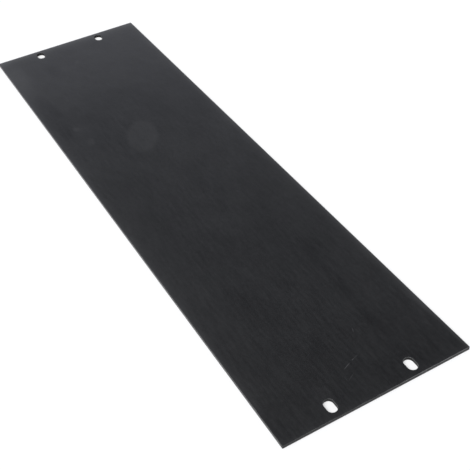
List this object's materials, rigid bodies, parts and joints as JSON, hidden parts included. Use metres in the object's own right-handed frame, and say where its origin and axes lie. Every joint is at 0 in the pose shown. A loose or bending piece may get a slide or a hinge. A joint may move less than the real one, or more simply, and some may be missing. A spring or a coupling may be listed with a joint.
{
  "type": "rack front panel",
  "caption": "Flat blank front panel of black anodised, brushed aluminium for a 19-inch equipment rack, with obround screw slots at both ends.",
  "frame": {"origin": "centre of the panel's back face", "axes": "+X along the panel's length, +Y up the panel as it stands in a rack, +Z out of its front face"},
  "size_m": [0.4826, 0.1324, 0.0025],
  "materials": {
    "panel": "black anodised, brushed along the panel's length"
  },
  "bodies": {
    "root": {"front_panel": "panel"}
  },
  "joints": []
}
